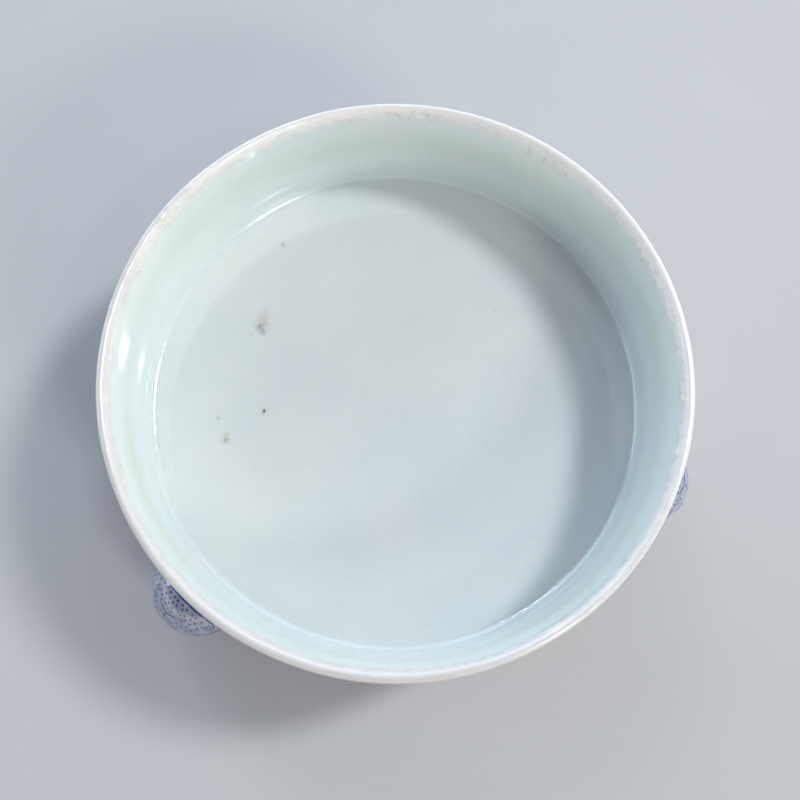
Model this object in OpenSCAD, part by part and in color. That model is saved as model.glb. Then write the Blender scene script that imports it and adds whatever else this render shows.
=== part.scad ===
// Tripod brush washer in blue-and-white porcelain: a straight-sided, shallow round
// vessel on three moulded cabriole feet. It is built as a potter builds it: a thrown
// wall, thinned inside towards the lip and set on a slab base, a coil pressed into the
// inside corner, and three moulded feet, each bedded in slip on the wall and under the
// base. The wall and the coil stand in a shallow rebate turned round the slab's edge.
// The origin is the centre of the well's floor, on the turning axis, and +Z is up.

/* [Wall] */
// Outside diameter across the wall and the lip
rim_d = 170; // [120:1:240]
// Depth of the well, from the top of the lip to the floor
well_depth = 36; // [26:1:60]
// Thickness of the thrown wall at the lip
lip_t = 3; // [2:0.1:4.5]
// Thickness of the wall at the level of the floor, from which it tapers inside to the lip
wall_t = 6.2; // [4.5:0.1:8]

/* [Base] */
// Thickness of the slab base, from the floor of the well to its underside
base_t = 7; // [5:0.5:12]
// Depth of the rebate round the slab's edge, which the wall stands in
seat_d = 1.5; // [0.5:0.1:2.5]
// Width of the bevel turned on the base's lower edge
base_bevel = 1.5; // [0.5:0.1:3]
// Width of the flat ring left between the feet and the glazed recess
ring_land = 8; // [4:0.5:14]
// Depth of the glazed recess
recess_depth = 1.4; // [0.6:0.1:2.5]

/* [Corner coil] */
// Width and height of the coil in the inside corner
coil_w = 1.8; // [1.2:0.1:4]
// Thickness that the coil keeps along its two edges
coil_edge = 0.4; // [0.2:0.05:0.8]

/* [Feet] */
// Height of the base's underside above the soles
foot_h = 28; // [24:1:36]
// Radius of the round knee
knee_r = 15.5; // [12:0.5:18]
// How far the knee's centre stands out from the wall
knee_out = 1.5; // [0:0.5:4]
// Depth of the knee's widest level below the underside of the base
knee_drop = 7; // [4:0.5:8.5]
// Angle that the knee stays ball-shaped below its widest level
knee_dip = 6; // [2:1:20]
// Thickness of the ankle, front to back
ankle_d = 16.5; // [12:0.5:20]
// Width of the ankle, side to side
ankle_w = 18; // [13:0.5:21]
// Height of the ankle's narrowest level above the sole
ankle_z = 6.5; // [4.5:0.5:9]
// Length of the toe, front to back
toe_d = 20; // [17:0.5:24]
// Width of the toe, side to side
toe_w = 22; // [18:0.5:26]
// Height of the toe's widest level above the sole
toe_z = 2.4; // [1:0.1:3]
// How far the toe's centre stands out from the wall
toe_out = 4.5; // [0:0.5:7]
// How far the sole's edge is drawn in from the toe
sole_inset = 1.6; // [0.5:0.1:3]

/* [Luting slip] */
// Thickness of the slip bed between a foot and the vessel
slip_t = 0.8; // [0.4:0.1:1.5]
// How far the slip squeezes out round a foot
slip_margin = 1; // [0.3:0.1:2]

/* [Hidden] */
$fn = 96;

// Radii of the vessel, the inside ones at the level of the floor
outer_r = rim_d / 2;
inner_r = outer_r - wall_t;
floor_r = inner_r - coil_w;
lip_r = lip_t / 2;
recess_r = outer_r + knee_out - knee_r - slip_margin - ring_land;

// Levels, measured from the floor of the well
seat_z = -seat_d;
base_z = -base_t;
lip_level = well_depth - lip_r;
sole_z = base_z - foot_h;
toe_level = sole_z + toe_z;
ankle_level = sole_z + ankle_z;
knee_level = base_z - knee_drop;

// Directions of the three feet, as turns about the vessel's axis
foot_step = 360 / 3;
back_turn = 90;
left_turn = back_turn + foot_step;
right_turn = left_turn + foot_step;

// Steps of the lofted foot: points round a section, and sections in each stretch
ring_points = 32;
sole_steps = 3;
toe_steps = 4;
calf_steps = 7;
knee_steps = 9;

porcelain = "#dfe9e8";
slip_white = "#eef0ee";
foot_blue = "#9fa8c6";

function mix(a, b, t) = a + (b - a) * t;

// Radius of the tapered wall's inside at a level
function inside_r(z) = mix(inner_r, outer_r - lip_t, z / lip_level);

// Passage from a to b that leaves a upright and reaches b with the rise given
function ease(a, b, t, rise = 0) = a + (b - a) * t * t * (3 - 2 * t) + rise * t * t * (t - 1);

// A section of the foot: [level, centre out from the wall, half depth, half width]
sole_section = [sole_z, toe_out, toe_d / 2 - sole_inset, toe_w / 2 - sole_inset];
toe_section = [toe_level, toe_out, toe_d / 2, toe_w / 2];
ankle_section = [ankle_level, 0, ankle_d / 2, ankle_w / 2];
knee_section = [knee_level - knee_r * sin(knee_dip), knee_out, knee_r * cos(knee_dip), knee_r * cos(knee_dip)];

// Sections that sweep from an upright edge to one that flares by a slope
function swept(from, to, steps, flare = 0) =
    let (rise = flare * (to[0] - from[0]))
    [for (i = [0 : steps - 1])
        let (t = i / steps)
        [mix(from[0], to[0], t), ease(from[1], to[1], t),
            ease(from[2], to[2], t, rise), ease(from[3], to[3], t, rise)]];

// Sections that round out from the sole to the toe, as a quarter ellipse
function rounded(from, to, steps) =
    [for (i = [0 : steps - 1])
        let (a = 90 * i / steps)
        [mix(to[0], from[0], cos(a)), for (k = [1 : 3]) mix(from[k], to[k], sin(a))]];

// Sections of the knee's ball, from its dip up towards its crown
function domed(steps, grow) =
    [for (i = [0 : steps - 1])
        let (a = mix(-knee_dip, 90, i / steps), r = knee_r + grow)
        [knee_level + r * sin(a), knee_out, r * cos(a), r * cos(a)]];

function grown(sections, by) = [for (s = sections) [s[0], s[1], s[2] + by, s[3] + by]];

function section_ring(section) =
    [for (j = [0 : ring_points - 1])
        let (a = 360 * j / ring_points)
        [outer_r + section[1] + section[2] * cos(a), section[3] * sin(a), section[0]]];

// Solid skinned over a stack of rings, closed by the first ring below and a crown above
module skin(rings, crown) {
    n = len(rings[0]);
    last = len(rings) - 1;
    points = concat([for (ring = rings) each ring], [crown]);
    floor_face = [[for (j = [0 : n - 1]) j]];
    sides = [for (i = [0 : last - 1], j = [0 : n - 1])
        let (a = i * n + j, b = i * n + (j + 1) % n)
        each [[a, a + n, b], [b, a + n, b + n]]];
    top = [for (j = [0 : n - 1])
        [last * n + j, len(points) - 1, last * n + (j + 1) % n]];
    polyhedron(points, concat(floor_face, sides, top));
}

// Whole form of a foot on the +X side, before the vessel is cut out of it
module foot_form(grow = 0) {
    leg = concat(
        rounded(sole_section, toe_section, sole_steps),
        swept(toe_section, ankle_section, toe_steps),
        swept(ankle_section, knee_section, calf_steps, tan(knee_dip)));
    rings = [for (s = concat(grown(leg, grow), domed(knee_steps, grow))) section_ring(s)];
    skin(rings, [outer_r + knee_out, 0, knee_level + knee_r + grow]);
}

// The outside of the vessel as one plain solid
module vessel_solid() {
    rotate_extrude()
        polygon([
            [0, base_z],
            [outer_r - base_bevel, base_z],
            [outer_r, base_z + base_bevel],
            [outer_r, well_depth],
            [0, well_depth]]);
}

// The space that a foot keeps clear of: the vessel and the slip bed on it
module bed_space() {
    translate([0, 0, base_z - slip_t])
        cylinder(r = outer_r + slip_t, h = base_t + slip_t + well_depth);
}

module wall() {
    color(porcelain)
    rotate_extrude()
        union() {
            polygon([
                [inside_r(seat_z), seat_z],
                [outer_r, seat_z],
                [outer_r, lip_level],
                [outer_r - lip_t, lip_level]]);
            translate([outer_r - lip_r, lip_level]) circle(r = lip_r);
        }
}

module base_profile() {
    polygon([
        [0, base_z + recess_depth],
        [recess_r, base_z + recess_depth],
        [recess_r, base_z],
        [outer_r - base_bevel, base_z],
        [outer_r, base_z + base_bevel],
        [outer_r, seat_z],
        [floor_r, seat_z],
        [floor_r, 0],
        [0, 0]]);
}

module base() {
    color(porcelain) rotate_extrude() base_profile();
}

module corner_coil() {
    color(porcelain)
    rotate_extrude()
        difference() {
            polygon([
                [floor_r, seat_z],
                [inside_r(seat_z), seat_z],
                [inside_r(coil_w), coil_w],
                [floor_r, coil_w]]);
            translate([floor_r, coil_w]) circle(r = coil_w - coil_edge);
        }
}

module foot(turn) {
    color(foot_blue)
    rotate(turn)
        difference() {
            foot_form();
            bed_space();
        }
}

// Slip left between a foot and the vessel, with the bead that squeezes out round it
module foot_slip(turn) {
    color(slip_white)
    rotate(turn)
        difference() {
            intersection() {
                foot_form(slip_margin);
                bed_space();
            }
            vessel_solid();
        }
}

wall();
base();
corner_coil();
foot(left_turn);  // foot_left
foot(right_turn);  // foot_right
foot(back_turn);  // foot_back
foot_slip(left_turn);  // foot_slip_left
foot_slip(right_turn);  // foot_slip_right
foot_slip(back_turn);  // foot_slip_back
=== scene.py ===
import math
import bmesh
import bpy
import numpy as np
from mathutils import Matrix, Vector


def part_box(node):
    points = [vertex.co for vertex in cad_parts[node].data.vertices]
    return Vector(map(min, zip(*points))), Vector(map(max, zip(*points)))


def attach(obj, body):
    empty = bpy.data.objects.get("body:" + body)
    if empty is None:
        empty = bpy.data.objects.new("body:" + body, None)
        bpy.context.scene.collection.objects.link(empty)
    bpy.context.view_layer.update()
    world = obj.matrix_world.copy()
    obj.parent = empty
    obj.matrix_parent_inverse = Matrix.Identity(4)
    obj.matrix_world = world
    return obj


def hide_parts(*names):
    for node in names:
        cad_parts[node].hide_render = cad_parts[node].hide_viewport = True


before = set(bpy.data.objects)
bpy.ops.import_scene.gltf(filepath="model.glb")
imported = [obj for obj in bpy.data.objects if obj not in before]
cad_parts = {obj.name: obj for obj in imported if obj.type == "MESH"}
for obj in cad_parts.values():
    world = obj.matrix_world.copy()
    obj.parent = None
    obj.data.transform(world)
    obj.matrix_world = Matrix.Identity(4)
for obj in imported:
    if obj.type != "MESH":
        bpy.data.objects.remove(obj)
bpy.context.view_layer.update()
mm = 0.001

# sizes read off the frame, in metres
wallBox, baseBox, coilBox, footBox = (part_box(n) for n in ("wall", "base", "corner_coil", "foot_back"))
vessel = {
    "outer": wallBox[1][0],      # radius of the outside wall
    "lip": wallBox[1][2],        # top of the lip
    "lipThick": 3.0 * mm,        # thickness of the wall at the lip
    "coilTop": coilBox[1][2],    # height and width of the coil
    "coilOut": coilBox[1][0],    # radius where the coil ends on the wall
    "seat": wallBox[0][2],       # rebate that the wall stands in
    "under": baseBox[0][2],      # underside of the slab
    "ground": footBox[0][2],     # level of the soles
}
vessel["taper"] = ((vessel["outer"] - vessel["lipThick"] - vessel["coilOut"])
                   / (vessel["lip"] - vessel["lipThick"] / 2 - vessel["coilTop"]))


def insideAt(height):
    # radius of the tapered inside wall
    return vessel["coilOut"] + vessel["taper"] * (height - vessel["coilTop"])


vessel["inner"] = insideAt(0)
vessel["floor"] = insideAt(0) - vessel["coilTop"]   # radius of the floor, inside the coil
print("vessel sizes", {k: round(v / mm, 2) for k, v in vessel.items()})


# modelling helpers
slack = 0.05 * mm       # tolerance when points are picked by their place
touching = 0.002 * mm   # points nearer than this are joined


def deselectAll():
    if bpy.context.object and bpy.context.object.mode != "OBJECT":
        bpy.ops.object.mode_set(mode="OBJECT")
    bpy.ops.object.select_all(action="DESELECT")


def makeActive(piece):
    deselectAll()
    bpy.context.view_layer.objects.active = piece
    piece.select_set(True)


def editAll():
    bpy.ops.object.mode_set(mode="EDIT")
    bpy.ops.mesh.select_all(action="SELECT")


def editBy(kind):
    bpy.ops.object.mode_set(mode="EDIT")
    bpy.ops.mesh.select_mode(type=kind)


def called(piece, name):
    piece.name = name
    piece.data.name = name


def pick(piece, test):
    # selects the vertices whose place passes the test
    editBy("VERT")
    shape = bmesh.from_edit_mesh(piece.data)
    for vert in shape.verts:
        vert.select = test(vert.co)
    shape.select_flush_mode()
    bmesh.update_edit_mesh(piece.data)


def pickFaces(piece, test):
    # selects the faces whose middle and normal pass the test
    editBy("FACE")
    shape = bmesh.from_edit_mesh(piece.data)
    for face in shape.faces:
        face.select = test(face.calc_center_median(), face.normal)
    bmesh.update_edit_mesh(piece.data)


def startRing(name, radius, height, steps):
    deselectAll()
    bpy.ops.mesh.primitive_circle_add(vertices=steps, radius=radius, location=(0, 0, height))
    piece = bpy.context.object
    called(piece, name)
    bpy.ops.object.transform_apply(location=True)
    editAll()
    return piece


def runRing(start, points):
    # carries the selected ring on through (radius, height) points, as on a wheel
    radius, height = start
    for nextRadius, nextHeight in points:
        bpy.ops.mesh.extrude_region_move(TRANSFORM_OT_translate={"value": (0, 0, nextHeight - height)})
        if nextRadius == 0:
            bpy.ops.mesh.merge(type="CENTER")
            return
        grow = nextRadius / radius
        bpy.ops.transform.resize(value=(grow, grow, 1), center_override=(0, 0, 0))
        radius, height = nextRadius, nextHeight


def arc(centre, radii, start, end, steps):
    # points of an arc from one angle to another, in degrees, without its first point
    angles = [math.radians(start + (end - start) * i / steps) for i in range(1, steps + 1)]
    return [(centre[0] + radii[0] * math.cos(a), centre[1] + radii[1] * math.sin(a)) for a in angles]


def applied(piece, kind, settings):
    # adds a modifier with its settings and applies it
    makeActive(piece)
    change = piece.modifiers.new(kind, kind)
    for key, value in settings.items():
        setattr(change, key, value)
    bpy.ops.object.modifier_apply(modifier=change.name)


def closeUp(piece, angle=50):
    # joins touching points, turns the faces outward and shades them
    editAll()
    bpy.ops.mesh.remove_doubles(threshold=touching)
    bpy.ops.mesh.normals_make_consistent(inside=False)
    bpy.ops.object.mode_set(mode="OBJECT")
    bpy.ops.object.shade_smooth_by_angle(angle=math.radians(angle))


def handOver(piece, slot, *nodes):
    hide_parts(*nodes)
    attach(piece, "root")
    print(piece.name, len(piece.data.polygons), "faces")


def cloudsOf(name, scale, detail):
    texture = bpy.data.textures.new(name, "CLOUDS")
    texture.noise_scale = scale
    texture.noise_depth = detail
    return texture


def roughen(piece, texture, depth, group=""):
    applied(piece, "DISPLACE", {"texture": texture, "texture_coords": "LOCAL", "mid_level": 0.5,
                                "vertex_group": group, "strength": depth})


# slow hand-thrown unevenness, shared by the pieces that meet
unevenness = {"scale": 55 * mm, "depth": 0.5 * mm}
handThrown = cloudsOf("handThrown", unevenness["scale"], 0)


# brush strokes, laid as a cobalt value on the points of a piece
def smoothLine(points, steps):
    # curve that passes through its points
    p = np.array(points, float)
    p = np.vstack([2 * p[0] - p[1], p, 2 * p[-1] - p[-2]])
    t = np.linspace(0, len(p) - 3 - 1e-9, steps)
    i = t.astype(int)
    f = (t - i)[:, None]
    a, b, c, d = p[i], p[i + 1], p[i + 2], p[i + 3]
    bend = 2 * a - 5 * b + 4 * c - d
    twist = 3 * b - a - 3 * c + d
    return 0.5 * (2 * b + (c - a) * f + bend * f**2 + twist * f**3)


def brush(line, width, tone=1.0, ends=0.35):
    # a stroke that is full in the middle and thins to its ends
    s = np.linspace(0, 1, len(line))
    swell = ends + (1 - ends) * np.sin(np.pi * s) ** 0.6
    return {"line": np.array(line, float), "width": width * swell, "tone": tone}


def layStrokes(places, strokes, soft):
    # cobalt at each place: the strongest stroke over it
    cobalt = np.zeros(len(places))
    for stroke in strokes:
        line, width = stroke["line"], stroke["width"]
        reach = width.max() + soft
        near = np.all((places > line.min(0) - reach) & (places < line.max(0) + reach), axis=1)
        index = np.nonzero(near)[0]
        if len(index) == 0:
            continue
        gap = np.linalg.norm(places[index][:, None, :] - line[None, :, :], axis=2) - width[None, :]
        cover = np.clip(0.5 - gap.min(1) / soft, 0, 1)
        cobalt[index] = np.maximum(cobalt[index], stroke["tone"] * cover)
    return cobalt


def weigh(piece, name, share):
    # vertex group with a weight for each point
    group = piece.vertex_groups.new(name=name)
    for index in np.nonzero(share > 0.01)[0]:
        group.add([int(index)], float(share[index]), "REPLACE")


def placesOf(piece):
    flat = np.empty(len(piece.data.vertices) * 3)
    piece.data.vertices.foreach_get("co", flat)
    return flat.reshape(-1, 3)


def keepCobalt(piece, cobalt):
    layer = piece.data.attributes.new("cobalt", "FLOAT", "POINT")
    layer.data.foreach_set("value", cobalt.astype(np.float32))


# wall: thrown upright and thinned inside, with rings left by the fingers and a rounded lip
wall = {
    "columns": 1080,                  # nine repeats of the scroll, 120 columns each
    "rows": 58,                       # rows up the outside, fine enough for the painting
    "lipOut": (1.5 * mm, 2.1 * mm),   # width and height of the lip's rounding, outside
    "lipIn": 2.6 * mm,                # height of its rounding, inside
    "lipSteps": 6,
    "lipWave": 5 * mm,                # unevenness of the lip: its length and depth
    "lipUneven": 0.4 * mm,
    "insideRows": 18,
    "throwing": 0.088 * mm,           # swell of the throwing rings
    "fade": 1 / 8,                    # share of the inside where they die out, at each end
    "ring": 14.4 * mm,                # from one throwing ring to the next
    "steepest": 11.6 * mm,            # height where the lowest ring leans back most
    "repeats": 9,
    "paintDepth": 0.6 * mm,           # how far in from the outside the painting is laid
    "soft": 0.5,                      # mm, softness of a painted edge
}


def throwWall(w):
    crest = vessel["outer"] - w["lipOut"][0]
    spring = vessel["lip"] - w["lipOut"][1]
    ease = vessel["lip"] - w["lipIn"]
    deselectAll()
    bpy.ops.mesh.primitive_cylinder_add(vertices=w["columns"], radius=vessel["outer"],
                                        depth=spring - vessel["seat"], end_fill_type="NOTHING",
                                        location=(0, 0, (spring + vessel["seat"]) / 2))
    piece = bpy.context.object
    called(piece, "washerWall")
    bpy.ops.object.transform_apply(location=True)
    editBy("EDGE")
    shape = bmesh.from_edit_mesh(piece.data)
    for edge in shape.edges:
        edge.select = abs(edge.verts[0].co.z - edge.verts[1].co.z) > mm
    bmesh.update_edit_mesh(piece.data)
    bpy.ops.mesh.subdivide(number_cuts=w["rows"] - 1)
    pick(piece, lambda at: at.z > spring - slack)
    runRing((vessel["outer"], spring), arc((crest, spring), w["lipOut"], 0, 90, w["lipSteps"]))
    inside = arc((crest, ease), (crest - insideAt(ease), w["lipIn"]), 90, 180, w["lipSteps"])
    for i in range(1, w["insideRows"] + 1):
        t = i / w["insideRows"]
        height = ease + (vessel["seat"] - ease) * t
        fade = min(1, t / w["fade"], (1 - t) / w["fade"])
        turn = 2 * math.pi * (height - w["steepest"]) / w["ring"]
        swell = math.sin(turn) + math.sin((turn - math.pi) / 2)   # every second ring swells more
        inside.append((insideAt(height) + fade * w["throwing"] * swell, height))
    runRing((crest, vessel["lip"]), inside)
    bpy.ops.mesh.select_all(action="DESELECT")
    bpy.ops.mesh.select_mode(type="EDGE")
    bpy.ops.mesh.select_non_manifold()
    bpy.ops.mesh.bridge_edge_loops()
    closeUp(piece)
    return piece


def leaf(root, middle, tip, width, tone=0.8):
    # a leaf or petal laid with the side of the brush
    s = np.linspace(0, 1, 30)
    line = smoothLine([root, middle, tip], len(s))
    return {"line": line, "width": width * np.sin(np.pi * (0.05 + 0.93 * s)) ** 0.8, "tone": tone}


def blossom(u, z, size):
    # composite flower: two rings of petals round a ringed heart
    strokes = []
    at = np.array([u, z])
    petals = 16   # broad and narrow ones in turn

    def along(out, *reaches):
        return [at + size * reach * out for reach in reaches]

    for k in range(petals):
        a = math.radians(90 + 360 / petals * k)
        out = np.array([math.cos(a), math.sin(a)])
        side = np.array([-out[1], out[0]])
        if k % 2 == 0:
            loop = [0.36 * out + 0.13 * side, 0.7 * out + 0.29 * side, 0.88 * out + 0.16 * side, 1.04 * out,
                    0.88 * out - 0.16 * side, 0.7 * out - 0.29 * side, 0.36 * out - 0.13 * side]
            strokes.append(brush(at + size * smoothLine(loop, 70), 0.28, 1.0, 0.8))
            strokes.append(leaf(*along(out, 0.44, 0.7, 0.93), 1.05, 0.4))
        else:
            strokes.append(leaf(*along(out, 0.6, 0.8, 0.98), 0.42, 0.85))
    ring = np.linspace(0, 2 * math.pi, 50)
    for reach, width, tone in ((0.33, 0.26, 0.95), (0.15, 0.3, 0.8)):
        strokes.append(brush(at + reach * size * np.stack([np.cos(ring), np.sin(ring)], 1), width, tone, 1.0))
    return strokes


def curl(u, z, size, start, way):
    # tendril that winds in to its centre
    turns = 1.35
    s = np.linspace(0, 1, 110)
    a = math.radians(start) + way * 2 * math.pi * turns * s
    r = size * (1 - 0.85 * s ** 0.9)
    return brush(np.stack([u + r * np.cos(a), z + r * np.sin(a)], 1), 0.46, 0.95, 0.5)


# flower scroll round the outside: levels and sizes in mm
scroll = {"middle": 15.3, "swing": 6.2, "stem": 0.48, "flowerUp": 9.8, "flower": 6.3, "curl": 2.3}


def scrollStrokes(length):
    # one repeat of the scrolling stem, in mm round and mm up, with its crest in the middle
    middle, flowerUp, flower = scroll["middle"], scroll["flowerUp"], scroll["flower"]
    u = np.linspace(-0.55 * length, 0.55 * length, 300)
    stem = np.stack([u, middle + scroll["swing"] * np.cos(2 * math.pi * u / length)], 1)
    strokes = [{"line": stem, "width": np.full(len(u), scroll["stem"]), "tone": 1.0}]
    strokes += blossom(0, flowerUp, flower)
    quarter = length / 4
    for side in (-1, 1):
        strokes += blossom(side * length / 2, 2 * middle - flowerUp, flower)
        for flip in (-1, 1):
            def at(x, z):
                # the second half of the wave is the first one turned half way round
                return (side * (quarter + flip * (x - quarter)), middle + flip * (z - middle))
            strokes.append(leaf(at(6.6, 19.8), at(9.6, 22.4), at(11.4, 26.6), 1.05))
            strokes.append(leaf(at(8.2, 18.6), at(12.4, 19.6), at(16.0, 23.2), 1.1))
            strokes.append(leaf(at(10.4, 17.6), at(8.9, 13.6), at(9.0, 9.4), 0.95, 0.7))
            strokes.append(brush(smoothLine([at(1.6, 21.3), at(0.6, 19.0), at(0, 16.4)], 30), 0.45))
            start = 180 + flip * (90 - 20 * side)
            strokes.append(curl(*at(4.2, 26.0), scroll["curl"], start, -side))
            strokes.append(leaf(at(0.4, 22.3), at(1.0, 25.0), at(0.3, 28.2), 0.8, 0.85))
    return strokes


def paintWall(piece, w):
    places = placesOf(piece)
    length = 2 * math.pi * vessel["outer"] / mm / w["repeats"]
    out = np.hypot(places[:, 0], places[:, 1]) > vessel["outer"] - w["paintDepth"]
    turn = np.degrees(np.arctan2(places[:, 1], places[:, 0])) - 90
    up = places[:, 2] / mm
    hand = np.radians(turn)   # the hand wanders from one repeat to the next
    turn = turn + 0.38 * np.sin(5 * hand + 0.12 * up) + 0.24 * np.sin(11 * hand + 1.3)
    up = up + 0.4 * np.sin(7 * hand + 2.0) + 0.28 * np.sin(16 * hand + 0.4)
    step = 360 / w["repeats"]
    repeat = np.rint(turn / step).astype(int)
    u = (turn - repeat * step) / step * length
    flat = np.stack([u, up], 1)
    cobalt = np.zeros(len(places))
    here = np.nonzero(out)[0]
    cobalt[here] = layStrokes(flat[here], scrollStrokes(length), w["soft"])
    keepCobalt(piece, cobalt)


def wearLip(piece, w):
    # the lip is a little uneven where the sponge ran round it
    wiped = cloudsOf("wipedLip", w["lipWave"], 1)
    places = placesOf(piece)
    rise = (places[:, 2] - vessel["lip"] + 2 * w["lipIn"]) / w["lipIn"]
    inward = (vessel["outer"] - np.hypot(places[:, 0], places[:, 1])) / vessel["lipThick"]
    weigh(piece, "lip", np.clip(rise, 0, 1) * np.clip(1.6 * inward, 0, 1))
    roughen(piece, wiped, w["lipUneven"], "lip")


washerWall = throwWall(wall)
paintWall(washerWall, wall)
roughen(washerWall, handThrown, unevenness["depth"])
wearLip(washerWall, wall)
handOver(washerWall, "body_glaze", "wall")


# base: a slab with a rebated edge, a flat unglazed ring and a glazed recess underneath
base = {
    "steps": 360,
    "floorRings": 26,
    "sag": 0.35 * mm,          # the floor sags a little in the firing
    "bevel": 1.5 * mm,
    "recess": 62 * mm,         # radius of the glazed recess
    "recessDepth": 1.4 * mm,
    "recessSoft": 0.5 * mm,    # rounding of the recess, below and above
    "recessRings": 12,
    "land": 8 * mm,            # width of the outer ring of faces on the flat
}


def turnBase(b):
    edge, floor, under = vessel["outer"], vessel["floor"], vessel["under"]
    piece = startRing("washerBase", floor, 0, b["steps"])
    rings = []
    for i in range(1, b["floorRings"] + 1):
        radius = floor * (1 - i / b["floorRings"])
        rings.append((radius, -b["sag"] * 0.5 * (1 + math.cos(math.pi * radius / floor))))
    runRing((floor, 0), rings)
    pick(piece, lambda at: math.hypot(at.x, at.y) > floor - slack)
    bevel, recess, soft = b["bevel"], b["recess"], b["recessSoft"]
    ceiling = under + b["recessDepth"]
    outline = [(floor, vessel["seat"]), (edge, vessel["seat"]), (edge, under + bevel)]
    outline += [(edge - bevel * 0.3, under + bevel * 0.3), (edge - bevel, under)]   # the bevel, slightly full
    outline += [(edge - bevel - b["land"], under), (recess + soft, under)]
    outline += arc((recess + soft, under + soft), (soft, soft), 270, 180, 4)
    outline += [(recess, ceiling - soft)]
    outline += arc((recess - soft, ceiling - soft), (soft, soft), 0, 90, 4)
    outline += [(recess * k / b["recessRings"], ceiling) for k in range(b["recessRings"] - 1, -1, -1)]
    runRing((floor, 0), outline)
    closeUp(piece)
    return piece


washerBase = turnBase(base)
roughen(washerBase, handThrown, unevenness["depth"])
handOver(washerBase, "body_glaze", "base")


# corner coil: pressed into the inside corner and smoothed to a hollow, with two fine edges
coil = {
    "steps": 720,
    "edge": 0.03 * mm,         # thickness left along the floor
    "lap": 0.5 * mm,           # how far it is smoothed over the floor
    "lapDepth": 0.3 * mm,      # how deep the lap's edge is sunk in the floor
    "feather": 1.2 * mm,       # how far it is smoothed up the wall
    "buried": 0.12 * mm,       # how far its upper edge is sunk in the wall
}


def pressCoil(c):
    floor, top, edge = vessel["floor"], vessel["coilTop"], c["edge"]
    lap, buried = c["lap"], c["buried"]
    high = top + c["feather"]
    piece = startRing("cornerCoil", floor, vessel["seat"], c["steps"])
    outline = [(floor - lap, -c["lapDepth"]), (floor - lap, -edge)]
    outline += [(floor - lap / 2, edge / 5), (floor, edge)]
    outline += arc((floor, top), (insideAt(top) - floor, top - edge), 270, 354, 12)
    outline += [(insideAt(high) + buried, high), (insideAt(high) + 4 * buried, high)]
    outline += [(insideAt(vessel["seat"]) + 4 * buried, vessel["seat"]), (floor, vessel["seat"])]
    runRing((floor, vessel["seat"]), outline)
    closeUp(piece, 40)
    return piece


cornerCoil = pressCoil(coil)
roughen(cornerCoil, handThrown, unevenness["depth"])
handOver(cornerCoil, "body_glaze", "corner_coil")


# feet: one moulded foot on the +X side, painted, then copied to the three places
foot = {
    "steps": 48,
    "knee": (footBox[1][0] - footBox[0][0]) / 2,   # radius of the round knee
    "kneeOut": 1.5 * mm,              # its centre stands out from the wall
    "kneeLevel": vessel["under"] - 7.0 * mm,
    "dip": 6,                         # degrees that the knee stays round below its widest level
    "ankle": (8.25 * mm, 9.0 * mm),   # half depth and half width
    "ankleLevel": vessel["ground"] + 6.5 * mm,
    "toe": (10.0 * mm, 11.0 * mm),
    "toeLevel": vessel["ground"] + 2.4 * mm,
    "toeOut": 4.5 * mm,
    "soleInset": 1.6 * mm,
    "bed": 0.8 * mm,                  # slip between the foot and the vessel
    "sole": (0.8, 0.97),              # shares of the sole that are flat and eased
    "smoothing": 3,                   # levels of subdivision
    "cutSteps": 720,                  # steps of the round that cuts the bed
    "soft": 0.28 * mm,                # softness of a painted edge
    "relief": 0.45 * mm,              # height of the moulded scrolls
    "reliefSoft": 1.7 * mm,           # how softly they rise
    "wash": 0.25,                     # thin blue laid under the strokes
    "turns": {"footLeft": 210, "footRight": 330, "footBack": 90},
}


def eased(a, b, t):
    # passage from a to b that starts and ends level
    return a + (b - a) * (t * t * (3 - 2 * t))


def footSections(f):
    # (level, centre out from the wall, half depth, half width), from the sole to the crown
    toe, ankle, inset, out = f["toe"], f["ankle"], f["soleInset"], f["kneeOut"]
    dip = math.radians(f["dip"])
    low = f["kneeLevel"] - f["knee"] * math.sin(dip)
    sections = []
    for i in range(4):
        a = math.radians(90 * i / 4)
        grow = inset * (1 - math.sin(a))
        level = f["toeLevel"] + (vessel["ground"] - f["toeLevel"]) * math.cos(a)
        sections.append((level, f["toeOut"], toe[0] - grow, toe[1] - grow))
    for i in range(5):
        t = i / 5
        level = f["toeLevel"] + (f["ankleLevel"] - f["toeLevel"]) * t
        sections.append((level, eased(f["toeOut"], 0, t),
                         eased(toe[0], ankle[0], t), eased(toe[1], ankle[1], t)))
    wide = f["knee"] * math.cos(dip)
    rise = math.tan(dip) * (low - f["ankleLevel"])
    for i in range(8):
        t = i / 8
        flare = rise * t * t * (t - 1)   # so that it runs into the ball without a crease
        sections.append((f["ankleLevel"] + (low - f["ankleLevel"]) * t, eased(0, out, t),
                         eased(ankle[0], wide, t) + flare, eased(ankle[1], wide, t) + flare))
    nearCrown = math.radians(87)
    for i in range(11):
        a = -dip + (nearCrown + dip) * i / 10
        flat = f["knee"] * math.cos(a)
        sections.append((f["kneeLevel"] + f["knee"] * math.sin(a), out, flat, flat))
    return sections


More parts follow.
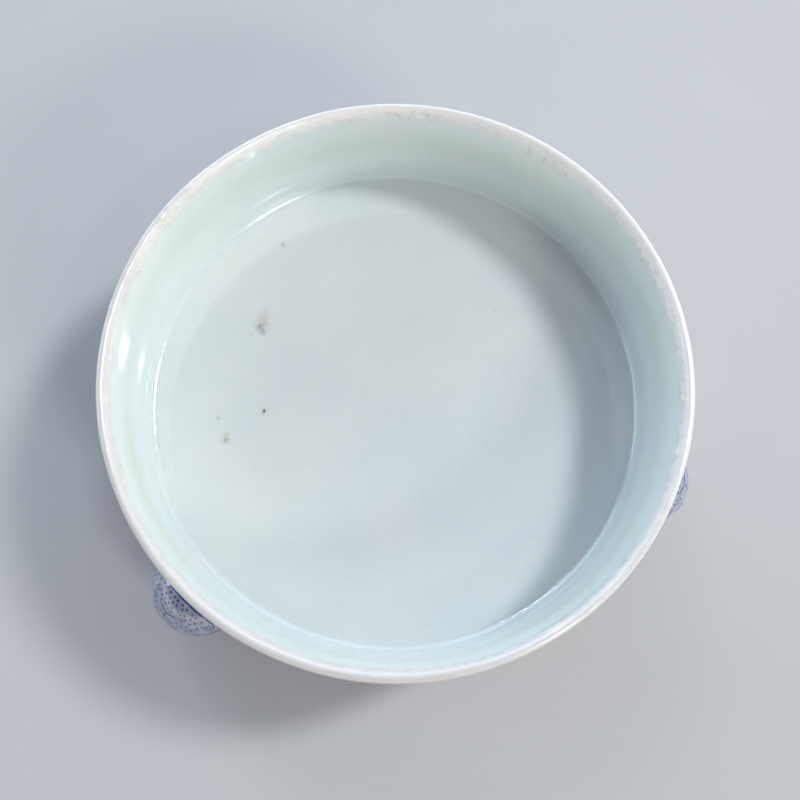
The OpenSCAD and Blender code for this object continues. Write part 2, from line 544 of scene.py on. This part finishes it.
def mouldFoot(f):
    sections = footSections(f)
    level, centre, depth, width = sections[0]
    flat, edge = f["sole"]
    deselectAll()
    bpy.ops.mesh.primitive_circle_add(vertices=f["steps"], radius=1, fill_type="NGON")
    piece = bpy.context.object
    piece.name = "footRight"
    editAll()
    bpy.ops.transform.resize(value=(depth * flat, width * flat, 1), center_override=(0, 0, 0))
    bpy.ops.transform.translate(value=(vessel["outer"] + centre, 0, level))
    bpy.ops.mesh.select_mode(type="EDGE")
    bpy.ops.mesh.region_to_loop()
    steps = [(level, centre, depth * edge, width * edge)] + sections
    now = (level, centre, depth * flat, width * flat)
    for after in steps:
        shift = (after[1] - now[1], 0, after[0] - now[0])
        bpy.ops.mesh.extrude_region_move(TRANSFORM_OT_translate={"value": shift})
        bpy.ops.transform.resize(value=(after[2] / now[2], after[3] / now[3], 1),
                                 center_override=(vessel["outer"] + after[1], 0, after[0]))
        now = after
    bpy.ops.mesh.extrude_region_move(TRANSFORM_OT_translate={"value": (0, 0, 0)})
    bpy.ops.mesh.merge(type="CENTER")
    closeUp(piece, 80)
    applied(piece, "SUBSURF", {"levels": f["smoothing"], "render_levels": f["smoothing"]})
    return piece


def onKnee(f, turn, lift):
    # place on the knee: degrees round from the front, degrees up from its widest level
    a, e = np.radians(turn), np.radians(lift)
    flat = f["knee"] * np.cos(e)
    return np.stack([vessel["outer"] + f["kneeOut"] + flat * np.cos(a), flat * np.sin(a),
                     f["kneeLevel"] + f["knee"] * np.sin(e)], -1)


def onLeg(f, turn, level):
    # place on the leg below the knee: degrees round from the front, height
    sections = np.array(sorted(footSections(f)))
    a = np.radians(turn)
    centre, depth, width = (np.interp(level, sections[:, 0], sections[:, k]) for k in (1, 2, 3))
    return np.stack([vessel["outer"] + centre + depth * np.cos(a), width * np.sin(a), level + 0 * a], -1)


def onCrown(f, out, side):
    # place on the knee's upper half, by its plan: out from the wall and sideways
    high = np.sqrt(np.maximum(f["knee"] ** 2 - (out - f["kneeOut"]) ** 2 - side ** 2, 0))
    return np.stack([vessel["outer"] + out, side + 0 * out, f["kneeLevel"] + high], -1)


def crownStrokes(f):
    # dotted panel on top of the knee: a line along the wall, hooked at its ends, and a small fork in front
    strokes = []
    across = np.linspace(-12.6, 12.6, 120) * mm
    strokes.append(brush(onCrown(f, 6.0 * mm - 3.5 * across ** 2, across), 0.34 * mm, 1.0, 0.8))
    for side in (-1, 1):
        hook = smoothLine([(5.5, 12.6), (6.4, 13.4), (7.8, 12.9), (8.9, 11.3)], 50) * mm
        strokes.append(brush(onCrown(f, hook[:, 0], side * hook[:, 1]), 0.3 * mm, 0.95, 0.4))
        arm = smoothLine([(12.3, 3.5), (12.7, 2.1), (13.4, 0.1)], 40) * mm
        strokes.append(brush(onCrown(f, arm[:, 0], side * arm[:, 1]), 0.32 * mm, 1.0, 0.4))
        for turn in np.arange(50, 88, 8.0):
            lock = smoothLine([(turn, 35), (turn + 1.5, 29), (turn + 1, 23)], 20)
            strokes.append(brush(onKnee(f, side * lock[:, 0], lock[:, 1]), 0.22 * mm, 0.8, 0.3))
    stem = np.linspace(13.4, 15.8, 30) * mm
    strokes.append(brush(onCrown(f, stem, 0 * stem), 0.3 * mm, 0.95, 0.4))
    strokes += crownDots(f)
    return strokes


def crownDots(f):
    # uneven rows of dots, left clear round the fork
    dots = []
    spread = np.random.default_rng(7)
    for row in range(6):
        out = 7.5 + 1.42 * row
        for side in np.arange(-14.0, 14.1, 1.85) + (row % 2) * 0.9:
            at = np.array([out, side]) + spread.normal(0, 0.24, 2)
            size, tone = 0.34 + 0.14 * spread.random(), 0.85 + 0.15 * spread.random()
            onFork = at[0] > 11.6 and abs(at[1]) < 1.2 + 1.6 * (13.8 - at[0])
            if math.hypot(at[0] - 1.5, at[1]) < 14.4 and not onFork:
                place = onCrown(f, at[:1] * mm, at[1:] * mm)
                dots.append({"line": place, "width": np.array([size * mm]), "tone": tone})
    return dots


def legStrokes(f):
    # locks below the scrolls, lines round the ankle and strokes on the toe
    strokes = []
    for turn in np.arange(-98, 99, 8.0):
        levels = f["kneeLevel"] - np.linspace(4.6, 8.6 + 1.1 * math.cos(turn / 11), 24) * mm
        lock = onLeg(f, turn + 3 * np.sin(np.linspace(0, 3, 24)), levels)
        strokes.append(brush(lock, 0.36 * mm, 0.8, 0.25))
    ring = np.linspace(-180, 180, 360)
    for level, width in ((2.6, 0.36), (1.3, 0.22), (-5.2, 0.3)):
        line = onLeg(f, ring, f["ankleLevel"] + level * mm)
        strokes.append({"line": line, "width": np.full(len(ring), width * mm), "tone": 0.9})
    for turn in (-75, -45, -15, 15, 45, 75):
        levels = f["ankleLevel"] + np.linspace(0.2, -4.3, 30) * mm
        strokes.append(brush(onLeg(f, np.full(30, float(turn)), levels), 0.45 * mm, 0.85, 0.25))
    return strokes


def scrollsOf(f):
    # moulded scrolls on the knee's face: a ridge that parts into two curls, and a curl on each cheek
    strokes = [brush(onKnee(f, np.zeros(60), np.linspace(20, 3, 60)), 0.45 * mm, 1.0, 0.6)]
    front = [(1, 6), (7, 11), (19, 12), (29, 5), (28, -7), (17, -11), (9, -5), (13, 1), (20, -1)]
    cheek = [(76, 4), (66, 11), (52, 12), (41, 5), (42, -6), (52, -11), (60, -5), (53, 1)]
    for side in (-1, 1):
        for line, width in ((front, 0.62), (cheek, 0.55)):
            path = smoothLine(line, 160)
            strokes.append(brush(onKnee(f, side * path[:, 0], path[:, 1]), width * mm, 1.0, 0.5))
    return strokes


def cutBed(piece, f):
    # cuts the vessel and its slip bed out of the foot
    deselectAll()
    low = vessel["under"] - f["bed"]
    bpy.ops.mesh.primitive_cylinder_add(vertices=f["cutSteps"], radius=vessel["outer"] + f["bed"],
                                        depth=vessel["lip"] - low,
                                        location=(0, 0, (vessel["lip"] + low) / 2))
    cutter = bpy.context.object
    applied(piece, "BOOLEAN", {"operation": "DIFFERENCE", "object": cutter, "solver": "EXACT"})
    bpy.data.objects.remove(cutter)


def paintFoot(piece, f):
    scrolls = scrollsOf(f)
    places = placesOf(piece)
    cobalt = layStrokes(places, scrolls + crownStrokes(f) + legStrokes(f), f["soft"])
    level = (places[:, 2] - f["kneeLevel"]) / f["knee"]
    wash = f["wash"] * np.clip(1.0 + 1.2 * level, 0.35, 1)   # deepest on the crown, thin on the leg
    return np.maximum(cobalt, wash), layStrokes(places, scrolls, f["reliefSoft"])


firstFoot = mouldFoot(foot)
cobalt, raised = paintFoot(firstFoot, foot)
weigh(firstFoot, "relief", raised)
keepCobalt(firstFoot, cobalt)
applied(firstFoot, "DISPLACE", {"vertex_group": "relief", "mid_level": 0.0, "strength": foot["relief"]})
cutBed(firstFoot, foot)
closeUp(firstFoot, 40)
print("foot moulded", len(firstFoot.data.polygons), "faces")


# beads of slip, drawn round each foot where it meets the wall and the base
bead = {
    "radius": 0.85 * mm,
    "margin": 0.3 * mm,        # how far out from the foot it lies
    "bevel": base["bevel"],
    "steps": 120,
    "knots": 30,               # places where its thickness changes
    "uneven": 0.16,            # share by which it does
}


def drawBead(b):
    kneeOut, rise = foot["kneeOut"], vessel["under"] - foot["kneeLevel"]
    onWall = math.sqrt(foot["knee"] ** 2 - kneeOut ** 2) + b["margin"]
    onBase = math.sqrt(foot["knee"] ** 2 - rise ** 2) + b["margin"]
    start = math.asin((rise + b["bevel"]) / onWall)
    path = []
    for a in np.linspace(start, math.pi - start, b["steps"] // 2):
        side = onWall * math.cos(a)
        out = math.sqrt(vessel["outer"] ** 2 - side ** 2)
        path.append((out, side, foot["kneeLevel"] + onWall * math.sin(a)))
    turn = math.acos(-(kneeOut + 1.3 * b["bevel"]) / onBase)
    for a in np.linspace(2 * math.pi - turn, turn, b["steps"] // 2):
        out = vessel["outer"] + kneeOut + onBase * math.cos(a)
        path.append((out, onBase * math.sin(a), vessel["under"]))
    path = np.array(path)
    for _ in range(2):   # eases the corners
        path = (np.roll(path, 1, 0) + 2 * path + np.roll(path, -1, 0)) / 4
    spread = np.random.default_rng(3)
    knots = 1 + b["uneven"] * spread.standard_normal(b["knots"])
    along = np.linspace(0, b["knots"], len(path), endpoint=False)
    swell = np.interp(along, np.arange(b["knots"] + 1), np.append(knots, knots[0]))
    line = bpy.data.curves.new("slipBead", "CURVE")
    line.dimensions = "3D"
    line.bevel_depth = b["radius"]
    line.bevel_resolution = 4
    spline = line.splines.new("POLY")
    spline.points.add(len(path) - 1)
    for point, at, width in zip(spline.points, path, swell):
        point.co = (*at, 1)
        point.radius = width
    spline.use_cyclic_u = True
    drawn = bpy.data.objects.new("slipBead", line)
    bpy.context.collection.objects.link(drawn)
    makeActive(drawn)
    bpy.ops.object.convert(target="MESH")
    piece = bpy.context.object
    closeUp(piece, 80)
    return piece


firstBead = drawBead(bead)


def setRound(model, name, turn):
    # a copy with its own mesh, turned about the vessel's axis
    piece = model.copy()
    piece.data = model.data.copy()
    called(piece, name)
    bpy.context.collection.objects.link(piece)
    piece.data.transform(Matrix.Rotation(math.radians(turn), 4, "Z"))
    return piece


feet, beads = {}, {}
for name, turn in foot["turns"].items():
    side = name[4:].lower()
    feet[name] = setRound(firstFoot, name, turn)
    handOver(feet[name], "painted_foot", "foot_" + side)
    beads[name] = setRound(firstBead, "slip" + name[4:], turn)
    handOver(beads[name], "luting_slip", "foot_slip_" + side)
bpy.data.objects.remove(firstFoot)
bpy.data.objects.remove(firstBead)


# shader helpers
def tint(r, g, b):
    # colour given as it looks on a screen
    def linear(c):
        return c / 12.92 if c < 0.04045 else ((c + 0.055) / 1.055) ** 2.4

    return tuple(linear(c / 255) for c in (r, g, b)) + (1,)


def put(tree, socket, value):
    if isinstance(value, bpy.types.NodeSocket):
        tree.links.new(value, socket)
    else:
        socket.default_value = value


def maths(tree, operation, a, b=0.0):
    node = tree.nodes.new("ShaderNodeMath")
    node.operation = operation
    put(tree, node.inputs[0], a)
    put(tree, node.inputs[1], b)
    return node.outputs[0]


def times(tree, a, b):
    return maths(tree, "MULTIPLY", a, b)


def stretch(tree, place, scale):
    node = tree.nodes.new("ShaderNodeMapping")
    put(tree, node.inputs["Vector"], place)
    node.inputs["Scale"].default_value = scale
    return node.outputs[0]


def noise(tree, place, scale, detail=2.0, rough=0.5):
    node = tree.nodes.new("ShaderNodeTexNoise")
    put(tree, node.inputs["Vector"], place)
    node.inputs["Scale"].default_value = scale
    node.inputs["Detail"].default_value = detail
    node.inputs["Roughness"].default_value = rough
    return node.outputs["Fac"]


def ramp(tree, value, low, high, toLow=0.0, toHigh=1.0):
    # smooth passage of a value between two limits
    node = tree.nodes.new("ShaderNodeMapRange")
    node.interpolation_type = "SMOOTHSTEP"
    for socket, given in zip(node.inputs, (value, low, high, toLow, toHigh)):
        put(tree, socket, given)
    return node.outputs[0]


def mix(tree, factor, a, b):
    node = tree.nodes.new("ShaderNodeMix")
    node.data_type = "RGBA"
    put(tree, node.inputs[0], factor)
    put(tree, node.inputs[6], a)
    put(tree, node.inputs[7], b)
    return node.outputs[2]


def stripe(tree, value, middle, width, soft):
    # 1 on a band, 0 away from it
    gap = maths(tree, "ABSOLUTE", maths(tree, "SUBTRACT", value, middle))
    return ramp(tree, gap, width, width + soft, 1.0, 0.0)


def newFinish(name):
    finish = bpy.data.materials.new(name)
    finish.use_nodes = True
    tree = finish.node_tree
    place = tree.nodes.new("ShaderNodeTexCoord").outputs["Object"]
    return finish, tree, tree.nodes["Principled BSDF"], place


def heightAndRadius(tree, place):
    parts = tree.nodes.new("ShaderNodeSeparateXYZ")
    put(tree, parts.inputs[0], place)
    flat = maths(tree, "SQRT", maths(tree, "ADD", times(tree, parts.outputs[0], parts.outputs[0]),
                                     times(tree, parts.outputs[1], parts.outputs[1])))
    return parts.outputs[2], flat


def bump(tree, shader, height, depth):
    node = tree.nodes.new("ShaderNodeBump")
    node.inputs["Distance"].default_value = depth
    put(tree, node.inputs["Height"], height)
    put(tree, shader.inputs["Normal"], node.outputs[0])


# glazes and the blue under them, shared by the pieces
glaze = {
    "pale": tint(235, 242, 239),
    "floor": tint(232, 236, 235),
    "floorDeep": tint(225, 232, 234),
    "deep": tint(230, 239, 240),
    "olive": tint(211, 222, 202),
    "lip": tint(247, 245, 243),
    # greyer lip colour, used both for patches of wear and for painted shade on the lip's dimmer side
    "wornAndShadedLip": tint(227, 224, 221),
    "stain": tint(203, 192, 172),
    "white": tint(229, 234, 238),
    "thin": tint(128, 144, 196),
    "wash": tint(124, 133, 166),
    "blue": tint(62, 78, 146),
    "dark": tint(27, 34, 84),
    "rough": 0.045,
    "gloss": 1.9,        # index of refraction, above a real glaze's 1.5 so that the highlights show
    "coilGloss": 2.2,    # higher again, for the coil's bright line
}


def glazeTone(tree, place, pale, deep):
    # pale blue-green glaze that gathers and thins
    cloud = ramp(tree, noise(tree, place, 24, 3), 0.32, 0.68)
    fine = ramp(tree, noise(tree, place, 620, 2), 0.3, 0.7)
    tone = mix(tree, cloud, glaze[pale], glaze[deep])
    return mix(tree, times(tree, fine, 0.12), tone, glaze["olive"])


def paintedGround(tree, place, cobalt, ground, thin="thin"):
    # underglaze blue: thin, full and heaped
    loaded = ramp(tree, noise(tree, place, 260, 3), 0.25, 0.75, 0.72, 1.12)
    amount = times(tree, cobalt, loaded)
    colour = mix(tree, ramp(tree, amount, 0.0, 0.35), ground, glaze[thin])
    colour = mix(tree, ramp(tree, amount, 0.3, 0.7), colour, glaze["blue"])
    return mix(tree, ramp(tree, amount, 0.72, 1.0), colour, glaze["dark"])


def cobaltOf(tree):
    node = tree.nodes.new("ShaderNodeAttribute")
    node.attribute_name = "cobalt"
    return node.outputs["Fac"]


def linesAt(tree, height, lines, soft, cobalt=0.0):
    # border lines, laid over what is painted already
    for level, half in lines:
        cobalt = maths(tree, "MAXIMUM", cobalt, stripe(tree, height, level, half, soft))
    return cobalt


def glossy(tree, shader, place, rough=glaze["rough"], gloss=glaze["gloss"]):
    shader.inputs["IOR"].default_value = gloss
    cloud = noise(tree, place, 45, 3)
    put(tree, shader.inputs["Roughness"], ramp(tree, cloud, 0.2, 0.8, rough * 0.7, rough * 1.4))


# how the wall looks: levels are heights above the floor, depths are measured down from the lip
wallLook = {
    "inside": (2.2 * mm, 0.8 * mm),        # in from the outside: where the inner glaze takes over
    "olive": (21 * mm, 1.5 * mm, 8 * mm),  # level, half width and softness of the olive band
    "borders": ((31.3 * mm, 0.28 * mm), (32.8 * mm, 0.42 * mm)),   # level and half width of the lines
    "borderSoft": 0.22 * mm,
    "wander": 7 * mm,                      # how raggedly the worn lip ends
    "topOnly": 2.8 * mm,                   # outside, only the top of the lip is worn
    "worn": (6.2 * mm, 1.8 * mm),          # depths where the wear begins and is full
    "dull": (4.4 * mm, 2.2 * mm),          # depths where the gloss goes
    "dullRough": 0.28,
    "mottle": 130 * mm,
    "paintedLightSide": (0.7, 0.7, 0),            # painted light: the lip is painted whiter towards this side and greyer towards the opposite one
    "stain": (3.2 * mm, 1.2 * mm, 2.0 * mm),   # depth, half width and softness of the brown specks
    "stainStrength": 0.5,
    "turning": (4 * mm, 13 * mm),          # the turning marks fade between these levels
    "marks": 0.02 * mm,
}


def wallFinish(w):
    finish, tree, shader, place = newFinish("wallGlaze")
    height, radius = heightAndRadius(tree, place)
    lip, outer = vessel["lip"], vessel["outer"]
    inside = ramp(tree, radius, outer - w["inside"][0], outer - w["inside"][1], 1.0, 0.0)
    streak = noise(tree, stretch(tree, place, (7, 7, 210)), 1.0, 3)
    tone = glazeTone(tree, place, "pale", "deep")
    uneven = ramp(tree, noise(tree, stretch(tree, place, (14, 14, 60)), 1.0, 2), 0.35, 0.7, 0.16, 0.6)
    band = times(tree, stripe(tree, height, *w["olive"]), uneven)
    tone = mix(tree, band, tone, glaze["olive"])
    tone = mix(tree, ramp(tree, streak, 0.35, 0.75, 0.0, 0.35), tone, glaze["deep"])
    cobalt = linesAt(tree, height, w["borders"], w["borderSoft"], cobaltOf(tree))
    white = mix(tree, ramp(tree, noise(tree, place, 30, 3), 0.35, 0.7), glaze["white"], glaze["pale"])
    colour = mix(tree, inside, paintedGround(tree, place, cobalt, white), tone)
    wander = maths(tree, "SUBTRACT", noise(tree, place, 150, 4, 0.65), 0.5)
    wander = times(tree, wander, w["wander"])
    ragged = maths(tree, "ADD", height, times(tree, wander, inside))
    ragged = maths(tree, "SUBTRACT", ragged, ramp(tree, inside, 0.0, 1.0, w["topOnly"], 0.0))
    # painted light: a gradient across the vessel paints the lip whiter towards one side and greyer towards
    # the other, and the mottle breaks it into patches of wear
    lean = tree.nodes.new("ShaderNodeVectorMath")
    lean.operation = "DOT_PRODUCT"
    put(tree, lean.inputs[0], place)
    lean.inputs[1].default_value = w["paintedLightSide"]
    mottle = maths(tree, "ADD", noise(tree, place, 70, 3, 0.6), noise(tree, place, 260, 2, 0.6))
    mottle = times(tree, maths(tree, "SUBTRACT", mottle, 1.0), w["mottle"])
    litAndUnworn = ramp(tree, maths(tree, "ADD", lean.outputs["Value"], mottle), -60 * mm, 60 * mm)
    bare = mix(tree, litAndUnworn, glaze["wornAndShadedLip"], glaze["lip"])
    worn = ramp(tree, ragged, lip - w["worn"][0], lip - w["worn"][1])
    colour = mix(tree, worn, colour, bare)
    patches = times(tree, ramp(tree, noise(tree, place, 62, 2), 0.36, 0.6),
                    ramp(tree, noise(tree, place, 430, 3, 0.6), 0.52, 0.66))
    depth, half, soft = w["stain"]
    stain = times(tree, stripe(tree, ragged, lip - depth, half, soft),
                  times(tree, patches, inside))
    stain = times(tree, stain, w["stainStrength"])
    put(tree, shader.inputs["Base Color"], mix(tree, stain, colour, glaze["stain"]))
    dull = ramp(tree, ragged, lip - w["dull"][0], lip - w["dull"][1])
    shader.inputs["IOR"].default_value = glaze["gloss"]
    put(tree, shader.inputs["Roughness"], ramp(tree, dull, 0.0, 1.0, glaze["rough"], w["dullRough"]))
    turning = times(tree, noise(tree, stretch(tree, place, (90, 90, 700)), 1.0, 2),
                    ramp(tree, height, *w["turning"], 3.0, 0.3))
    marks = maths(tree, "ADD", maths(tree, "ADD", streak, turning), noise(tree, place, 70, 2))
    bump(tree, shader, marks, w["marks"])
    return finish


# how the base looks, in metres from the floor of the well
baseLook = {
    "spotsAbove": -1.2 * mm,               # the spots stay on the floor, off the underside
    "borders": ((-2.6 * mm, 0.25 * mm), (-4.1 * mm, 0.4 * mm)),   # level and half width of the lines
    "borderSoft": 0.2 * mm,
    "ripple": 0.04 * mm,
}
# kiln spots on the floor: place and half sizes in mm, lean in degrees, strength, grain and colour
spots = [
    ((-36.9, 35.3), (3.6, 5.6), -14, 0.62, 0.3, tint(198, 188, 166)),
    ((-38.0, 33.0), (2.2, 3.2), 12, 0.7, 0.95, tint(128, 128, 114)),
    ((-41.4, 32.0), (1.5, 1.4), 0, 0.22, 0.3, tint(190, 182, 166)),
    ((-56.0, -0.4), (2.3, 3.0), -20, 0.5, 0.4, tint(188, 188, 164)),
    ((-56.3, -1.0), (1.0, 1.5), -15, 0.55, 0.6, tint(150, 150, 130)),
    ((-57.2, 6.6), (1.3, 1.4), 0, 0.42, 0.4, tint(160, 166, 160)),
    ((-42.5, 5.5), (2.0, 2.0), 0, 0.45, 0.1, tint(218, 200, 182)),
    ((-42.5, 5.5), (1.0, 0.85), 20, 1.0, 0.0, tint(44, 38, 30)),
    ((-24.7, 60.9), (1.1, 1.2), 0, 0.6, 0.1, tint(150, 160, 150)),
    ((39.7, 21.7), (0.9, 0.9), 0, 0.25, 0.2, tint(160, 162, 152)),
]


def floorFinish(b):
    finish, tree, shader, place = newFinish("floorGlaze")
    height, radius = heightAndRadius(tree, place)
    colour = glazeTone(tree, place, "floor", "floorDeep")
    fray = maths(tree, "SUBTRACT", noise(tree, place, 420, 2), 0.5)
    grain = ramp(tree, noise(tree, place, 1300, 2), 0.38, 0.62)
    onTop = maths(tree, "GREATER_THAN", height, b["spotsAbove"])
    for (x, y), (across, along), lean, strength, grainy, shade in spots:
        around = tree.nodes.new("ShaderNodeMapping")
        around.vector_type = "TEXTURE"
        put(tree, around.inputs["Vector"], place)
        around.inputs["Location"].default_value = (x * mm, y * mm, 0)
        around.inputs["Rotation"].default_value = (0, 0, math.radians(lean))
        around.inputs["Scale"].default_value = (across * mm, along * mm, 1)
        away = tree.nodes.new("ShaderNodeVectorMath")
        away.operation = "LENGTH"
        put(tree, away.inputs[0], around.outputs[0])
        frayed = maths(tree, "ADD", away.outputs["Value"], fray)
        over = ramp(tree, frayed, 0.1, 1.0, strength, 0.0)
        over = times(tree, over, ramp(tree, grain, 0.0, 1.0, 1 - 0.85 * grainy, 1.0))
        colour = mix(tree, times(tree, over, onTop), colour, shade)
    outside = maths(tree, "GREATER_THAN", radius, vessel["inner"])
    lines = linesAt(tree, height, b["borders"], b["borderSoft"])
    painted = paintedGround(tree, place, lines, glaze["white"])
    put(tree, shader.inputs["Base Color"], mix(tree, outside, colour, painted))
    glossy(tree, shader, place)
    bump(tree, shader, noise(tree, place, 60, 2), b["ripple"])
    return finish


def coilFinish():
    finish, tree, shader, place = newFinish("coilGlaze")
    colour = mix(tree, ramp(tree, noise(tree, place, 90, 3), 0.3, 0.7, 0.1, 0.6),
                 glazeTone(tree, place, "pale", "deep"), glaze["deep"])
    put(tree, shader.inputs["Base Color"], colour)
    glossy(tree, shader, place, glaze["rough"] * 0.7, glaze["coilGloss"])
    bump(tree, shader, noise(tree, stretch(tree, place, (1, 1, 2)), 380, 2), 0.16 * mm)
    return finish


def footFinish():
    finish, tree, shader, place = newFinish("paintedFoot")
    wash = ramp(tree, noise(tree, place, 75, 3), 0.35, 0.75, 0.0, 0.22)
    ground = mix(tree, wash, glaze["white"], glaze["thin"])
    put(tree, shader.inputs["Base Color"], paintedGround(tree, place, cobaltOf(tree), ground, "wash"))
    glossy(tree, shader, place)
    bump(tree, shader, noise(tree, place, 220, 3), 0.05 * mm)
    return finish


def slipFinish():
    finish, tree, shader, place = newFinish("slipGlaze")
    pool = ramp(tree, noise(tree, place, 110, 3), 0.35, 0.7)
    put(tree, shader.inputs["Base Color"], mix(tree, pool, glaze["white"], glaze["deep"]))
    glossy(tree, shader, place)
    bump(tree, shader, noise(tree, place, 260, 3), 0.1 * mm)
    return finish


# unglazed clay, on the soles and the ring under the base
clay = {
    "pale": tint(226, 214, 196),
    "toasted": tint(205, 176, 143),
    "grit": tint(150, 128, 104),
    "rough": 0.85,
}


def biscuitFinish(c):
    finish, tree, shader, place = newFinish("biscuit")
    toast = ramp(tree, noise(tree, place, 55, 4), 0.35, 0.7)
    colour = mix(tree, toast, c["pale"], c["toasted"])
    grit = ramp(tree, noise(tree, place, 1500, 2), 0.62, 0.7)
    put(tree, shader.inputs["Base Color"], mix(tree, grit, colour, c["grit"]))
    shader.inputs["Roughness"].default_value = c["rough"]
    bump(tree, shader, noise(tree, place, 1200, 3), 0.06 * mm)
    return finish


biscuit = biscuitFinish(clay)


def dress(piece, finish, bare=None):
    # one finish, with the faces that pass the test left unglazed
    piece.data.materials.clear()
    piece.data.materials.append(finish)
    if bare is None:
        return
    piece.data.materials.append(biscuit)
    makeActive(piece)
    pickFaces(piece, bare)
    piece.active_material_index = 1
    bpy.ops.object.material_slot_assign()
    bpy.ops.object.mode_set(mode="OBJECT")


def onRing(at, normal):
    # faces of the flat ring under the base, out from the recess
    low = normal.z < -0.9 and at.z < vessel["under"] + 0.4 * mm
    return low and math.hypot(at.x, at.y) > base["recess"]


def onSole(at, normal):
    return normal.z < -0.9 and at.z < vessel["ground"] + 0.3 * mm


dress(washerWall, wallFinish(wallLook))
dress(washerBase, floorFinish(baseLook), onRing)
dress(cornerCoil, coilFinish())
footGlaze, slipGlaze = footFinish(), slipFinish()
for name in feet:
    dress(feet[name], footGlaze, onSole)
    dress(beads[name], slipGlaze)
print("finishes done")


# camera at the photograph's view, matched to the lip, the floor's edge and the knees
viewpoint = {
    "stands": (-18.7, -59.2, 253.7),   # mm
    "looksAt": (-1.62, -9.41, 36.0),   # mm, on the plane of the lip
    "roll": 5.36,                      # degrees
    "lens": 36.0,                      # mm, as wide as the sensor
    "sensor": 36.0,
    "nearest": 10 * mm,
}


def setCamera(v):
    eye = Vector(v["stands"]) * mm
    aim = Vector(v["looksAt"]) * mm
    data = bpy.data.cameras.new("photoView")
    data.lens = v["lens"]
    data.sensor_width = v["sensor"]
    data.clip_start = v["nearest"]
    camera = bpy.data.objects.new("photoView", data)
    turn = (aim - eye).to_track_quat("-Z", "Y").to_matrix().to_4x4()
    camera.matrix_world = Matrix.Translation(eye) @ turn @ Matrix.Rotation(math.radians(v["roll"]), 4, "Z")
    bpy.context.collection.objects.link(camera)
    bpy.context.scene.camera = camera


setCamera(viewpoint)
bpy.context.scene.view_settings.view_transform = "Standard"

# soft studio light: a key and its halo at the right, a fill in front, bluish ones low behind, two sparks
lamps = {
    # turn and rise in degrees, size in metres, power in watts, colour
    "keyCore": (7.5, 52, (0.27, 0.38), 17.2, (0.97, 1.0, 1.0)),
    "keyHalo": (1, 50, (1.3, 1.3), 3.7, (0.97, 1.0, 1.0)),
    "front": (-62, 33.5, (0.48, 0.3), 8.5, (0.94, 1.0, 0.95)),
    "frontSpark": (-57, 53.5, (0.32, 0.08), 1.7, (1.0, 1.0, 1.0)),
    "back": (104, 17, (1.8, 0.9), 13.2, (0.6, 0.78, 1.0)),
    "corner": (62, 17, (1.2, 0.9), 6.3, (0.5, 0.74, 1.0)),
    "side": (152, 18, (1.2, 0.5), 6.0, (0.56, 0.8, 1.0)),
    "backSpark": (97, 48.5, (0.26, 0.6), 2.6, (0.9, 0.96, 1.0)),
}
lampDistance = 2.0
for name, (turn, rise, size, power, colour) in lamps.items():
    a, e = math.radians(turn), math.radians(rise)
    toward = Vector((math.cos(a) * math.cos(e), math.sin(a) * math.cos(e), math.sin(e)))
    light = bpy.data.lights.new(name, "AREA")
    light.shape = "ELLIPSE"
    light.size, light.size_y = size
    light.energy = power
    light.color = colour
    lit = bpy.data.objects.new(name, light)
    lit.location = toward * lampDistance
    lit.rotation_euler = (-toward).to_track_quat("-Z", "Y").to_euler()
    bpy.context.collection.objects.link(lit)

# a room with pale walls and a dark ceiling, so that the light comes in low
tones = {
    "walls": (1.45, 1.35, 1.15, 1),
    "ceiling": (0.165, 0.158, 0.193, 1),
    "below": (0.55, 0.56, 0.58, 1),        # dimmer below the horizon
    "backdrop": (0.66, 0.66, 0.68, 1),     # what the camera sees
    "ceilingFrom": (0.12, 0.34),           # rises where the walls pass into it
    "wallsFrom": (-0.2, -0.02),
}
room = bpy.data.worlds.new("softRoom")
bpy.context.scene.world = room
room.use_nodes = True
tree = room.node_tree
sky = tree.nodes["Background"]
seen = tree.nodes.new("ShaderNodeLightPath").outputs["Is Camera Ray"]
way = tree.nodes.new("ShaderNodeSeparateXYZ")
put(tree, way.inputs[0], tree.nodes.new("ShaderNodeTexCoord").outputs["Generated"])
rise = way.outputs[2]
around = mix(tree, ramp(tree, rise, *tones["ceilingFrom"]), tones["walls"], tones["ceiling"])
around = mix(tree, ramp(tree, rise, *tones["wallsFrom"]), tones["below"], around)
put(tree, sky.inputs[0], mix(tree, seen, around, tones["backdrop"]))

# plain pale floor, which passes into the backdrop far off
paper = {"size": 20, "tones": (tint(200, 200, 202), tint(206, 206, 207)), "rough": 0.9, "fades": (0.25, 1.0)}
deselectAll()
bpy.ops.mesh.primitive_plane_add(size=paper["size"], location=(0, 0, vessel["ground"]))
floor = bpy.context.object
floor.name = "floor"
floorPaint, tree, shader, place = newFinish("palePaper")
put(tree, shader.inputs["Base Color"], mix(tree, noise(tree, place, 14, 3), *paper["tones"]))
shader.inputs["Roughness"].default_value = paper["rough"]
away = heightAndRadius(tree, place)[1]
path = tree.nodes.new("ShaderNodeLightPath")
seen = maths(tree, "MAXIMUM", path.outputs["Is Camera Ray"], path.outputs["Is Glossy Ray"])
plain = tree.nodes.new("ShaderNodeEmission")
plain.inputs["Color"].default_value = tones["backdrop"]
blend = tree.nodes.new("ShaderNodeMixShader")
put(tree, blend.inputs[0], times(tree, ramp(tree, away, *paper["fades"]), seen))
put(tree, blend.inputs[1], shader.outputs[0])
put(tree, blend.inputs[2], plain.outputs[0])
put(tree, tree.nodes["Material Output"].inputs["Surface"], blend.outputs[0])
floor.data.materials.append(floorPaint)
print("camera, lamps and floor set")
